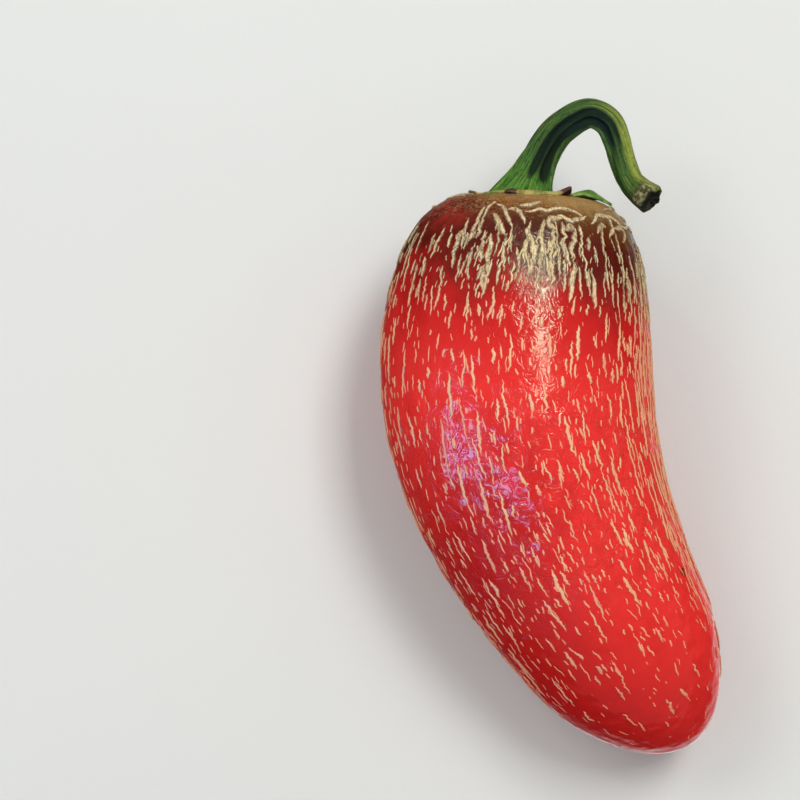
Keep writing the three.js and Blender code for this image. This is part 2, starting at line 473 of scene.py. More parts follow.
# %% The pod's axis and radius
POD = {
    "Around": 400, "Along": 200,
    "Stem end": (-2.9, 32.8, 21.1), "Stem handle": (-3.8, 9.9, 19.8),
    "Tip handle": (-13.4, -2.0, 19.8), "Tip end": (21.0, -45.2, 11.0),
    "Radius": 19.3, "Shoulder length": 25.6, "Shoulder rise": 0.225,
    "Taper start": 30.0, "Taper share": 0.44, "Taper power": 1.32,
    "Tip length": 18.0, "Tip roundness": 2.1, "Tip fall": 0.48,
    "Lobe depth": 0.012, "Dimple radius": 11.0, "Dimple depth": 1.8,
    "Lumps": 0.16, "Crown folds": 0.3,
}
LOBES = 3
LOBE_TURN = math.radians(75)

wire, size = new_tree("pod_rule", POD)
ends = {"Start": size["Stem end"], "Start Handle": size["Stem handle"]}
ends.update({"End Handle": size["Tip handle"], "End": size["Tip end"]})
bezier = {"Resolution": 240, **ends}
axis = wire.node("GeometryNodeCurvePrimitiveBezierSegment", {"mode": "POSITION"}, bezier)
length = axis.node("GeometryNodeCurveLength", {}, {"Curve": axis})
mesh, turn, share = wrapped_grid(wire, size["Around"], size["Along"])
distance = length * (0.5 - (share * math.pi).cos() * 0.5)
place, along, side, over = station(axis, distance)

rise = 1 - (1 - distance / size["Shoulder length"]).clamp() ** 2
taper = (distance - size["Taper start"]) / (length - size["Taper start"])
taper = taper.clamp() ** size["Taper power"]
nose = (1 - (length - distance) / size["Tip length"]).clamp() ** size["Tip roundness"]
radius = size["Radius"] * rise ** size["Shoulder rise"] * (1 - size["Taper share"] * taper)
radius = radius * (1 - nose).at_least(0.0) ** size["Tip fall"]
lobe = size["Lobe depth"] * (1 - distance / length) * (turn * LOBES - LOBES * LOBE_TURN).cos()
radius = radius * (1 + lobe)
print("pod's radius takes", len(wire.tree.nodes), "nodes")

# %% The pod's skin
straight = around(turn, distance, radius)
hollow = dimple(radius, size["Dimple depth"], size["Dimple radius"])
hollow = hollow * distance.do("LESS_THAN", size["Shoulder length"])
lump = straight.noise(0.12, 1.0) - 0.5
fold = (straight * (1.0, 1.0, 0.5)).noise(0.5, 2.0) - 0.5
lumps = lump * size["Lumps"] * 2 * distance.ramp(2.0, 12.0)
folds = fold * size["Crown folds"] * distance.ramp(16.0, 4.0) * radius.ramp(6.0, 9.0)
wide = radius + (lumps + folds) * radius.ramp(0.0, 4.0)
x, y, z = (on_section(place, side, over, turn, wide) + along * hollow).xyz()
skin = moved(mesh, join(x, y, z.at_least(0.0)))
skin = keep(keep(skin, "straight", straight), "axis", along)
pod = grow("pod", end_tree(to_metres(sewn(skin)), pod_skin), POD)


# %% Check which way the pod's faces point
def volume(mesh):
    """The signed volume inside a closed mesh, in cubic centimetres."""
    mesh.calc_loop_triangles()
    total = 0.0
    for triangle in mesh.loop_triangles:
        a, b, c = (mesh.vertices[corner].co for corner in triangle.vertices)
        total += a.dot(b.cross(c)) / 6
    return total * 1e6


def outwards(piece):
    """Turn a closed mesh right side out."""
    if volume(piece.data) < 0:
        piece.data.flip_normals()
    print(piece.name, "holds", round(volume(piece.data), 2), "cubic centimetres")
    return piece


settle(outwards(pod), "pod")

# %% [markdown]
# ## The cork's finish
# The scars are dry cork where the skin split as the pod swelled: peach on the red, khaki on the brown
# shoulder, rosier at the tip, and dark at the edges, partly the skin's own rim and partly painted shadow
# where the low ridge meets the skin. Edges could be drawn by hand on each scar. Instead each strip carries
# its own lengthwise and crosswise place, so a formula darkens the edge of all of them.

# %% Cork
PEACH = tone(238, 172, 128)
KHAKI = tone(220, 195, 148)
BLUSH = tone(234, 128, 98)
DUN = tone(168, 136, 98)
HAZEL = tone(110, 70, 44)
CRACK_AND_SHADOW = tone(76, 34, 20)
LIP_AND_SHADOW = tone(120, 14, 10)
CORK_RELIEF = 0.0001

cork, wire = new_finish("cork")
endways, sideways, luck = read(wire, "strip").xyz()
place = read(wire, "straight")
along = place.xyz()[2]
grain = (place * (1.0, 1.0, 0.3)).noise(2.8, 3.0, 0.65, 0.6)
fissure = abs((place * (1.0, 1.0, 0.2)).noise(2.2, 3.0, 0.6, 0.5) - 0.5).ramp(0.04, 0.01)
zone = along.ramp(22.0, 10.0)
edge = (abs(sideways) + stray(grain, 0.5) + zone * 0.1).ramp(0.54, 0.76)
colour = zone.blend(PEACH, KHAKI)
colour = (luck * (1 - zone) * 0.8).blend(colour, BLUSH)
colour = ((1 - luck) ** 3 * zone * 0.5).blend(colour, DUN)
colour = (grain.ramp(0.5, 0.34) * (0.3 + zone * 0.55)).blend(colour, zone.blend(BLUSH, HAZEL))
colour = (fissure * zone * 0.65).blend(colour, CRACK_AND_SHADOW)
colour = (abs(endways).ramp(0.8, 1.0) * (1 - zone) * 0.6).blend(colour, BLUSH)
colour = (along.ramp(50.0, 76.0) * 0.6).blend(colour, BLUSH)
# the dark lip round each strip is partly the skin's own rim and partly painted shadow at the ridge's foot
colour = (edge * 0.85).blend(colour, zone.blend(LIP_AND_SHADOW, CRACK_AND_SHADOW))
end_finish(wire, colour, 0.42 + grain * 0.25, grain, CORK_RELIEF, {"Specular IOR Level": 0.25})
print("cork finish has", len(wire.tree.nodes), "nodes")

# %% [markdown]
# ## The scars
# Hundreds of scars lie along the pod: long spindles and short ticks all over, closer ones on the right
# flank, thick merging ones on the shoulder and arcs round the calyx. Modelling them one by one is
# hopeless, and a bump map would lie flat at the outline. One tree scatters points on the skin, puts a
# small strip on each, sways and frays it, and lays it back on the skin as a low ridge whose edges sink
# in. All five kinds are the same tree with other sizes.

# %% Strips
RIM = 0.52  # where the cork ends and the lip of skin begins, as a share of a strip's half width


def lottery(wire, low, high, seed):
    """A random value for each point."""
    sockets = {"Min": low, "Max": high, "Seed": seed}
    return wire.node("FunctionNodeRandomValue", {"data_type": "FLOAT"}, sockets, "Value")


def strips_on(points, segments, rows):
    """One flat strip for each point, from -1 to 1 both ways."""
    sockets = {"Size X": 2.0, "Size Y": 2.0, "Vertices X": segments, "Vertices Y": rows}
    strip = points.node("GeometryNodeMeshGrid", {}, sockets, "Mesh")
    strip = keep(strip, "strip", position(points))
    laid = points.node("GeometryNodeInstanceOnPoints", {}, {"Points": points, "Instance": strip})
    return laid.node("GeometryNodeRealizeInstances", {}, {"Geometry": laid})


def half_width(endways, sideways, reach, broad, luck, fray):
    """A strip's body, blunt at its ends, and half its width with frayed edges."""
    body = (1 - abs(endways) ** 3).at_least(0.0) ** 0.9
    edge = join(reach * 1.6, luck * 53, sideways.do("SIGN") * 4).noise(1.0, 3.0, 0.6) - 0.5
    return body, broad * 0.5 / RIM * body * (1 + edge * fray * 2).at_least(0.15)


def swayed(middle, wave):
    """How far a strip's middle line strays here: strips that lie side by side sway alike."""
    return (middle * (1 / wave)).noise(1.0, 4.0, 0.7) - 0.5


print("strips can be made")

# %% How strips lie on the skin
SUNK = 0.025  # how far a strip's edges lie under the skin
MARKS = ("home", "out", "axis", "run", "swing", "size", "line")  # values needed only while strips are laid


def mapped(skin):
    """The skin in millimetres, with each point's place and outward direction stored on it."""
    sockets = {"Geometry": skin, "Scale": (1 / METRES,) * 3}
    skin = skin.node("GeometryNodeTransform", {}, sockets)
    skin = keep(skin, "home", position(skin))
    return keep(skin, "out", skin.node("GeometryNodeInputNormal"))


def lay(strips, skin, flat, height, strip_place):
    """Strips on the skin: each point goes to the skin's place nearest to flat, and is raised there."""
    def under(name):
        sockets = {"Mesh": skin, "Value": kept(strips, name), "Sample Position": flat}
        settings = {"data_type": "FLOAT_VECTOR"}
        return strips.node("GeometryNodeSampleNearestSurface", settings, sockets, "Value")

    endways, sideways, luck = strip_place
    dome = 1 - abs(sideways) ** 3
    x, y, z = (under("home") + under("out") * (height * dome - SUNK)).xyz()
    scar = moved(strips, join(x, y, z.at_least(0.0)))
    scar = keep(keep(scar, "straight", under("straight")), "strip", join(endways, sideways, luck))
    for name in MARKS:
        scar = scar.node("GeometryNodeRemoveAttribute", {}, {"Geometry": scar, "Name": name})
    return moved(scar, position(scar) * METRES)


print("strips can be laid on the skin")

# %% Scatter the scars
SCARS = {
    "Seed": 1, "Segments": 25, "Rows": 3, "Spacing": 1.5, "Squeeze": 0.25, "Density": 0.3,
    "Shortest": 2.0, "Longest": 9.0, "Thinnest": 0.2, "Widest": 0.42, "Height": 0.2,
    "Sway": 0.6, "Wave": 1.7, "Round": 0.0, "Tilt": 0.12, "Fray": 0.9,
    "From": 9.0, "To": 50.0, "Soft": 3.0, "Fade": 30.0, "Blush": 0.0,
    "Centre": 90.0, "Spread": 180.0, "Elsewhere": 1.0, "Patchy": 0.1,
}
wire, size = new_tree("scar_rule", SCARS)
skin = mapped(size["Geometry"])
straight = kept(wire, "straight")
right, up, distance = straight.xyz()
turn = up.do("ARCTAN2", right) * DEGREES
facing = (angle_from(turn, size["Centre"]) / size["Spread"]).ramp(1.0, 0.5)
facing = size["Elsewhere"] + (1 - size["Elsewhere"]) * facing
zone = distance.ramp(size["From"] - size["Soft"], size["From"])
zone = zone * distance.ramp(size["To"] + size["Fade"], size["To"])
patch = straight.noise(0.09, 1.0).ramp(0.35, 0.65)
density = zone * facing * (1 - size["Patchy"] * (1 - patch))

squeezed = moved(skin, straight * join(1.0, 1.0, size["Squeeze"]))
sockets = {"Mesh": squeezed, "Distance Min": size["Spacing"], "Density Max": size["Density"]}
sockets.update({"Density Factor": density, "Seed": size["Seed"]})
settings = {"distribute_method": "POISSON"}
points = wire.node("GeometryNodeDistributePointsOnFaces", settings, sockets, "Points")
print("scattering takes", len(wire.tree.nodes), "nodes")


# %% Give each scar its direction and size
def between(low, high, draw):
    return low + (high - low) * draw


seed = size["Seed"]
normal = kept(wire, "out").do("NORMALIZE")
lengthwise = kept(wire, "axis")
lengthwise = (lengthwise - normal * lengthwise.do("DOT_PRODUCT", normal)).do("NORMALIZE")
crosswise = normal.do("CROSS_PRODUCT", lengthwise)
heading = size["Round"] * (math.pi / 2) + lottery(wire, -1.0, 1.0, seed + 1) * size["Tilt"]
run = lengthwise * heading.cos() + crosswise * heading.sin()
long = between(size["Shortest"], size["Longest"], lottery(wire, 0.0, 1.0, seed + 2) ** 2.2)
broad = between(size["Thinnest"], size["Widest"], lottery(wire, 0.0, 1.0, seed + 3) ** 1.5)
luck = size["Blush"] + (1 - size["Blush"]) * lottery(wire, 0.0, 1.0, seed + 4) ** 2
marked = keep(keep(points, "run", run), "swing", normal.do("CROSS_PRODUCT", run))
marked = keep(marked, "size", join(long, broad, luck))
laid = strips_on(marked, size["Segments"], size["Rows"])
print("directions and sizes bring it to", len(wire.tree.nodes), "nodes")

# %% Sway and fray the strips
endways, sideways, _ = kept(wire, "strip").xyz()
long, broad, luck = kept(wire, "size").xyz()
reach = endways * long * 0.5
middle = kept(wire, "home") + kept(wire, "run") * reach
body, half = half_width(endways, sideways, reach, broad, luck, size["Fray"])
aside = swayed(middle, size["Wave"]) * size["Sway"] * 2 + sideways * half
flat = middle + kept(wire, "swing") * aside
rough = flat.noise(1.7, 2.0) * 0.6 + 0.7
scar = lay(laid, skin, flat, size["Height"] * rough * body ** 0.5, (endways, sideways, luck))
scar_tree = end_tree(scar, cork)
print("the scar tree has", len(scar_tree.nodes), "nodes")

# %% Five kinds of scars
KINDS_OF_SCAR = {
    "scars_long": {
        "Seed": 11, "Density": 0.68, "Spacing": 1.1, "Shortest": 1.6, "Longest": 7.2,
        "Sway": 0.75, "Wave": 1.5, "To": 48.0, "Fade": 36.0,
    },
    "scars_short": {
        "Seed": 31, "Segments": 9, "Density": 0.78, "Spacing": 0.66, "Squeeze": 0.5,
        "Shortest": 0.9, "Longest": 2.8, "Thinnest": 0.12, "Widest": 0.25, "Height": 0.11,
        "Sway": 0.45, "Wave": 1.2, "Tilt": 0.25, "To": 60.0, "Fade": 26.0, "Blush": 0.5,
    },
    "scars_flank": {
        "Seed": 41, "Density": 0.9, "Spacing": 0.75, "Longest": 8.0, "Thinnest": 0.18, "Widest": 0.34,
        "To": 56.0, "Fade": 16.0, "Blush": 0.1,
        "Centre": 5.0, "Spread": 55.0, "Elsewhere": 0.0, "Patchy": 0.2,
    },
    "scars_shoulder": {
        "Seed": 51, "Density": 2.6, "Spacing": 0.58, "Squeeze": 0.17, "Shortest": 2.2, "Longest": 6.5,
        "Thinnest": 0.22, "Widest": 0.54, "Height": 0.3, "Sway": 1.1, "Wave": 3.0, "Tilt": 0.2,
        "From": 7.5, "To": 11.0, "Fade": 5.0,
        "Centre": 94.0, "Spread": 44.0, "Elsewhere": 0.06, "Patchy": 0.0,
    },
    "scars_rings": {
        "Seed": 71, "Density": 0.1, "Spacing": 1.7, "Squeeze": 1.0, "Shortest": 4.0, "Longest": 11.0,
        "Thinnest": 0.3, "Widest": 0.6, "Height": 0.28, "Sway": 1.6, "Wave": 2.6, "Round": 1.0, "Tilt": 0.3,
        "From": 1.0, "To": 4.5, "Fade": 2.0,
        "Centre": 265.0, "Spread": 150.0, "Elsewhere": 0.0, "Patchy": 0.0,
    },
}
for name, sizes in KINDS_OF_SCAR.items():
    settle(grow(name, scar_tree, {**SCARS, **sizes}, pod.data), "pod")

# %% [markdown]
# ## The lines on the crown
# Round the calyx the scars turn and run across, in a few long lines and loops that the eye knows the pod
# by. Chance would not draw these, so they are listed as paths on the crown, seen along the pod's axis.
# Each path becomes a smooth curve, a strip follows it, and the crown pressed flat tells where each point
# lies on the real skin.

# %% Paths on the crown, in millimetres right and up from the pod's axis
CROWN_PATHS = [
    [(-7.0, 13.8), (-6.5, 13.3), (-5.8, 12.5), (-5.0, 12.2)],
    [(-5.1, 12.6), (-4.2, 13.4), (-3.7, 14.3), (-3.2, 15.2), (-2.6, 15.9)],
    [(-3.5, 13.9), (-2.6, 14.1), (-1.8, 14.6), (-1.3, 15.3), (-1.1, 15.8)],
    [(-2.0, 13.6), (-1.0, 13.7), (-0.2, 13.6), (0.6, 13.2), (1.1, 13.2)],
    [
        (-1.3, 14.6), (-0.1, 14.5), (0.8, 14.2), (2.0, 14.2),
        (3.4, 13.5), (5.3, 13.0), (6.4, 12.9), (7.1, 12.8),
    ],
    [(3.2, 14.5), (4.0, 14.3), (5.0, 14.3), (6.0, 13.7), (6.8, 13.2), (7.4, 12.3)],
    [(3.2, 15.8), (2.7, 15.6), (2.1, 15.5), (2.3, 15.0), (3.0, 14.8), (4.1, 14.5)],
    [(4.5, 15.4), (4.9, 15.0), (5.8, 14.7)],
    [
        (8.0, 12.9), (8.5, 12.0), (8.8, 11.2), (9.5, 10.2), (10.5, 9.4),
        (11.0, 9.8), (11.4, 10.1), (10.9, 11.3), (11.0, 11.7),
    ],
    [(9.1, 13.0), (9.2, 12.3), (9.9, 11.4), (10.3, 11.3)],
    [(9.8, 9.9), (11.0, 8.6), (12.1, 7.7), (12.9, 7.1)],
    [(11.4, 9.9), (12.4, 8.2), (13.1, 7.5), (13.2, 8.3), (12.9, 9.4)],
    [(-5.5, 13.8), (-4.9, 14.5), (-4.3, 15.4), (-3.6, 16.2)],
]


def paths_mesh(name, paths):
    """A mesh of open lines through these points."""
    points = [point for path in paths for point in path]
    steps, first = [], 0
    for path in paths:
        steps += [(i, i + 1) for i in range(first, first + len(path) - 1)]
        first += len(path)
    mesh = bpy.data.meshes.new(name)
    mesh.from_pydata(points, steps, [])
    return mesh


def smooth_path(mesh):
    """A smooth curve through the points of each line."""
    path = mesh.node("GeometryNodeMeshToCurve", {}, {"Mesh": mesh})
    path = path.node("GeometryNodeCurveSplineType", {"spline_type": "CATMULL_ROM"}, {"Curve": path})
    return path.node("GeometryNodeSetSplineResolution", {}, {"Geometry": path, "Resolution": 24})


crown_mesh = paths_mesh("crown_paths", [[(x, y, 0.0) for x, y in path] for path in CROWN_PATHS])
print(len(CROWN_PATHS), "paths on the crown")

# %% The crown pressed flat, and a strip for each path
CROWN = {
    "Pod": pod, "Lines": len(CROWN_PATHS), "Segments": 37, "Rows": 3, "Seed": 81,
    "Thinnest": 0.3, "Widest": 0.44, "Height": 0.26, "Sway": 0.3, "Wave": 1.3, "Fray": 0.6,
}
CROWN_LENGTH = 20.0  # how much of the pod the paths may lie on

wire, size = new_tree("crown_line_rule", CROWN)
skin = mapped(wire.node("GeometryNodeObjectInfo", {}, {"Object": size["Pod"]}, "Geometry"))
straight = kept(wire, "straight")
below = straight.xyz()[2].do("GREATER_THAN", CROWN_LENGTH)
sockets = {"Geometry": skin, "Selection": below}
plan = wire.node("GeometryNodeDeleteGeometry", {"domain": "POINT"}, sockets)
plan = moved(plan, straight * (1.0, 1.0, 0.0))
points = wire.node("GeometryNodeMeshLine", {"mode": "OFFSET"}, {"Count": size["Lines"]})
points = keep(points, "line", wire.node("GeometryNodeInputIndex"))
broad = lottery(wire, size["Thinnest"], size["Widest"], size["Seed"])
luck = lottery(wire, 0.0, 1.0, size["Seed"] + 1)
points = keep(points, "size", join(0.0, broad, luck))
laid = strips_on(points, size["Segments"], size["Rows"])
print("strips for the paths take", len(wire.tree.nodes), "nodes")

# %% Lead the strips along the paths
path = smooth_path(size["Geometry"])
endways, sideways, _ = kept(wire, "strip").xyz()
_, broad, luck = kept(wire, "size").xyz()
sockets = {"Curves": path, "Factor": endways * 0.5 + 0.5, "Curve Index": kept(wire, "line", "FLOAT")}
middle = wire.node("GeometryNodeSampleCurve", {"mode": "FACTOR"}, sockets, "Position")
across = middle.do("CROSS_PRODUCT", middle.other("Tangent"), first=(0.0, 0.0, 1.0))
body, half = half_width(endways, sideways, endways * 4, broad, luck, size["Fray"])
flat = middle + across * (swayed(middle, size["Wave"]) * size["Sway"] * 2 + sideways * half)
line = lay(laid, plan, flat, size["Height"] * body ** 0.5, (endways, sideways, luck))
settle(grow("crown_lines", end_tree(line, cork), CROWN, crown_mesh), "pod")

# %% [markdown]
# ## The stem's finish
# The stem is fresh green with fine lengthwise streaks, and brown and dry at the cut. Painted light makes it
# yellower on the outside of the hook, and painted shade makes it almost black in the groove on its inner
# side. A plain noise would run across the bend. So each point carries its share of the length, its turn
# round the stem and how deep it lies in the groove, and the streaks are noise on those, drawn out
# lengthwise.

# %% Stem green
LEAF = tone(70, 102, 42)
FRESH = tone(82, 132, 46)
LIME_AND_PAINTED_LIGHT = tone(162, 176, 74)
BOTTLE_AND_SHADE = tone(12, 22, 12)
STEM_RELIEF = 0.0004

stem_green, wire = new_finish("stem_green")
share, turn, depth = read(wire, "stem").xyz()
spin = around(turn, share * 0.7)
streak = spin.noise(7.0, 6.0, 0.7)
hairline = abs(spin.noise(4.5, 3.0, 0.55) - 0.5).ramp(0.02, 0.006)
flow = around(turn, share * 6).noise(1.6, 2.0)
# painted light: the outer side of the hook, towards the light, is painted a lighter yellow-green
painted_lit_side = turn.cos().ramp(-0.15, 0.6) * share.ramp(0.5, 0.7) * turn.sin().ramp(-0.6, 0.0)
colour = share.ramp(0.3, 0.05).blend(LEAF, FRESH)
colour = (painted_lit_side * 0.9).blend(colour, LIME_AND_PAINTED_LIGHT)
colour = (streak.ramp(0.52, 0.7) * 0.45).blend(colour, LIME_AND_PAINTED_LIGHT)
colour = (streak.ramp(0.5, 0.36) * 0.75).blend(colour, BOTTLE_AND_SHADE)
colour = (hairline * 0.75).blend(colour, BOTTLE_AND_SHADE)
print("stem green has", len(wire.tree.nodes), "nodes")

# %% Scurf, painted shade in the groove and the dry cut
PITH = tone(190, 182, 128)
HUSK = tone(62, 52, 38)
SOOT = tone(20, 17, 13)
DRIED_PITH = tone(70, 62, 44)

scurf = around(turn, share * 9).noise(6.0, 4.0, 0.7)
colour = (scurf.ramp(0.48, 0.34) * 0.45).blend(colour, BOTTLE_AND_SHADE)
colour = (scurf.ramp(0.66, 0.74) * 0.7).blend(colour, PITH)
# painted shade: the deeper a point lies in the groove, the nearer to black it is painted
colour = (depth.ramp(0.04, 0.42) * 0.96).blend(colour, BOTTLE_AND_SHADE)
dry = (share + stray(flow, 0.2)).ramp(0.88, 0.97)
colour = (dry * 0.75).blend(colour, HUSK)
ragged = around(turn, share * 30).noise(2.2, 3.0, 0.6)
torn = bell(share, 0.968, 0.03) * turn.sin().ramp(0.3, 0.8) * ragged.ramp(0.42, 0.54) * 0.9
colour = torn.blend(colour, PITH)
cut = (share + stray(flow, 0.012)).ramp(0.984, 0.99)
colour = cut.blend(colour, flow.ramp(0.5, 0.75).blend(SOOT, DRIED_PITH))
height = streak + flow * 0.4 + scurf * 0.6
end_finish(wire, colour, 0.48 + streak * 0.25, height, STEM_RELIEF, {"Specular IOR Level": 0.08})
print("stem finish has", len(wire.tree.nodes), "nodes")

# %% [markdown]
# ## The stem
# The stem is a ribbed tube on a bent path: a curve with a profile would give a tube of one section, but
# this one flares into its foot, twists, carries a deep groove inside the hook and ends in a hollow cut.
# So the same grid is wrapped round the path's stations, with the ribs and the groove in the radius.

# %% The stem's path and directions
STEM_PATH = [
    (-3.9, 32.68, 21.09), (-1.9, 37.3, 21.9), (-0.3, 40.1, 22.5), (1.7, 42.2, 23.1),
    (5.2, 43.9, 23.8), (8.0, 42.8, 23.9), (9.5, 40.1, 23.4), (10.3, 37.3, 23.1),
    (11.3, 34.6, 23.1), (12.6, 32.9, 23.6), (13.8, 31.7, 24.5),
]
crown = Vector(POD["Stem handle"]) - Vector(POD["Stem end"])
crown.normalize()
crown_side = Vector((0, 0, 1)).cross(crown).normalized()
crown_over = crown.cross(crown_side)
STEM = {
    "Around": 120, "Along": 170, "Foot side": tuple(-crown_side), "Foot over": tuple(crown_over),
    "Sink": 0.3, "Foot": 5.2, "Base": 2.6, "End": 1.6, "Flare": 2.2, "Swell": 0.5, "Swell length": 4.0,
    "Rib depth": 0.09, "Twist": math.radians(150), "Groove": 0.9, "Hollow": 0.7, "Bulge": 0.9,
}
FOOT_ROWS = 0.03  # the share of the rows that close the foot
CUT_ROWS = 0.9  # the share of the rows before the cut's own

wire, size = new_tree("stem_rule", STEM)
path = smooth_path(size["Geometry"])
length = path.node("GeometryNodeCurveLength", {}, {"Curve": path})
mesh, turn, row = wrapped_grid(wire, size["Around"], size["Along"])
share = ((row - FOOT_ROWS) / (CUT_ROWS - FOOT_ROWS)).clamp()
open_foot = (row / FOOT_ROWS).clamp()
inward = ((row - CUT_ROWS) / (1 - CUT_ROWS)).clamp()
distance = length * share ** 1.15
place, along, side, over = station(path, distance)
flare = (distance / size["Flare"] * -1).do("EXPONENT")
side = (side * (1 - flare) + size["Foot side"] * flare).do("NORMALIZE")
over = (over * (1 - flare) + size["Foot over"] * flare).do("NORMALIZE")
print("stem's path takes", len(wire.tree.nodes), "nodes")

# %% Ribs, the groove and the cut
RIBS = 5

full = size["Base"] + (size["End"] - size["Base"]) * share + (size["Foot"] - size["Base"]) * flare
full = full + size["Swell"] * (1 - (length - distance) / size["Swell length"]).clamp()
ribs = ((turn - size["Twist"] * share) * RIBS).cos() * size["Rib depth"] * (1 - flare * 0.6)
degrees = turn * DEGREES
fade = share.ramp(0.06, 0.22) * share.ramp(0.85, 0.55)
trench = (bell(degrees, 88.0, 24.0) * 0.8 + bell(degrees, 132.0, 36.0)) * fade
wrinkle = stray(around(turn, share * 4, 4).noise(1.2, 3.0), 0.3)
radius = full * (1 + ribs) - size["Groove"] * trench + wrinkle * share.ramp(0.0, 0.05)
round_off = inward * (math.pi / 2)
radius = radius * round_off.cos() * open_foot
back = size["Hollow"] * inward.ramp(0.3, 0.85) - size["Bulge"] * round_off.sin()
chips = around(turn, inward * 2).noise(2.4, 3.0) - 0.5
back = back + chips * bell(inward, 0.4, 0.5) * 0.8
point = on_section(place, side, over, turn, radius) - along * (back + size["Sink"] * flare)
tube = keep(moved(mesh, point), "stem", join(share * 0.98 + inward * 0.02, turn, trench))
stem_tree = end_tree(to_metres(sewn(tube)), stem_green)
stem = grow("stem", stem_tree, STEM, paths_mesh("stem_path", [STEM_PATH]))
settle(outwards(stem), "stem")

# %% [markdown]
# ## The calyx's finish
# The calyx is green where it is still alive, straw-coloured along its rim, and almost black at the dried
# ends of its teeth. One noise would make it blotchy like camouflage. Its veins run out from the stem, so
# the noise is drawn out along the radius, and each point carries how dry it is and how far out on a
# tooth.

# %% Calyx green
SAP = tone(66, 110, 36)
SAGE = tone(134, 154, 66)
HAY = tone(164, 122, 60)
PALE_HAY = tone(206, 172, 106)
UMBER = tone(98, 50, 34)
CHAR = tone(40, 28, 20)
CALYX_RELIEF = 0.00025

calyx_green, wire = new_finish("calyx_green")
dryness, reach, _ = read(wire, "leaf").xyz()
place = wire.node("ShaderNodeTexCoord", {}, {}, "Object") * (1 / METRES)
forward, sideways, radius = read(wire, "ray").xyz()
rays = join(forward, sideways, radius * 0.03).noise(7.0, 4.0, 0.65)
vein = rays * 0.65 + place.noise(0.9, 4.0, 0.6) * 0.35
light = vein.ramp(0.4, 0.6)
colour = light.blend(SAP, SAGE)
colour = (dryness + stray(vein, 0.3)).ramp(0.1, 0.35).blend(colour, light.blend(HAY, PALE_HAY))
colour = (dryness + stray(vein, 0.9)).ramp(0.55, 0.9).blend(colour, UMBER)
colour = ((reach + dryness * 0.5).ramp(0.95, 1.35) * 0.55).blend(colour, CHAR)
end_finish(wire, colour, 0.5 + vein * 0.3, vein, CALYX_RELIEF, {"Specular IOR Level": 0.2})
print("calyx finish has", len(wire.tree.nodes), "nodes")

# %% [markdown]
# ## The calyx
# The calyx is a thin cap in the dimple with seven uneven teeth. Modelling it apart would leave gaps to
# the pod, so it follows the shoulder's own rule and lies on the skin all round. The teeth are bumps in
# its reach round the turn, added up in a loop, each with its own curl and dryness.

# %% Teeth round the rim
CALYX = {"Around": 360, "Along": 60, "Radius": 8.0, "Thickness": 0.7, "Edge": 0.3}
TEETH = [  # angle, reach, half width in degrees, arch, lift at the end, dryness
    (20, 4.2, 30, 1.1, 0.1, 0.0), (64, 1.4, 6, 0.0, 1.5, 1.0), (107, 0.5, 6, 0.2, 0.5, 1.0),
    (150, 2.0, 6, 0.0, 0.3, 0.8), (178, 4.2, 7, 0.1, 0.1, 1.0), (238, 2.4, 16, 0.5, 0.5, 0.3),
    (306, 3.0, 20, 0.7, 0.6, 0.4),
]
FRONT_ANGLE = 92  # the middle of the rim's broad front
FRONT_HALF = 75
FRONT_REACH = 3.4
FRONT_DRYNESS = 0.24

wire, size = new_tree("calyx_rule", CALYX)
mesh, turn, row = wrapped_grid(wire, size["Around"], size["Along"])
degrees = turn * DEGREES
front = bell(degrees, FRONT_ANGLE, FRONT_HALF)
reach = front * FRONT_REACH
dryness = front * FRONT_DRYNESS
arch = lift = front * 0
for angle, out, half, hump, curl, dry in TEETH:
    away = angle_from(degrees, angle)
    tooth = (1 - away / half).clamp()
    reach = reach + tooth ** 0.8 * out
    arch = arch + tooth ** 0.6 * hump
    lift = lift + tooth * curl
    dryness = dryness + away.ramp(half, half * 0.5) * dry
print(len(TEETH), "teeth on the calyx")

# %% The cap on the shoulder
UNDERLAP = 0.05  # how far its underside lies in the skin

under = row.do("GREATER_THAN", 0.5)
share = 1 - abs(row * 2 - 1)
wavy = stray(around(turn, 0.0).noise(3.5, 2.0), 1.2)
radius = (size["Radius"] + reach + wavy) * share ** 0.8
past = ((radius - size["Radius"]) / (reach + 0.01)).clamp()
hump = (arch + 0.2) * bell(radius, 8.4, 3.0)
slope = (1 - (radius / POD["Radius"]) ** (1 / POD["Shoulder rise"])).at_least(0.0) ** 0.5
drop = POD["Shoulder length"] * (1 - slope)
dent = dimple(radius, POD["Dimple depth"], POD["Dimple radius"])
ripple = stray(around(turn, 0.0, radius).noise(0.5, 2.0), 0.6) * share.ramp(0.5, 1.0)
thick = size["Thickness"] + (size["Edge"] - size["Thickness"]) * share ** 2
height = hump + lift * past ** 2 - drop - dent + (ripple + thick) * (1 - under) - UNDERLAP * under
middle, side, over, outward = (
    wire.node("FunctionNodeInputVector", {"vector": tuple(direction)})
    for direction in (POD["Stem end"], crown_side, crown_over, crown)
)
point = on_section(middle, side, over, turn, radius) - outward * height
cap = keep(moved(mesh, point), "ray", around(turn, radius))
cap = keep(cap, "leaf", join(dryness * radius.ramp(7.0, 9.0), past * reach.ramp(0.2, 1.0), 0.0))
calyx = grow("calyx", end_tree(to_metres(sewn(cap)), calyx_green), CALYX)
settle(outwards(calyx), "calyx")

# %% [markdown]
# ## The table
# The table is plain and almost white, with a trace of cloud so that it doesn't look like a blank page. It
# is large enough to reach the horizon in a low view. The gloss doesn't see it, because the world gives
# the skin a floor to mirror that can be brighter on one side.

# %% Table
PAPER = tone(221, 223, 221)
PAPER_SHADE = tone(215, 217, 215)
PAPER_RELIEF = 0.00002
HALF_TABLE = 6.0

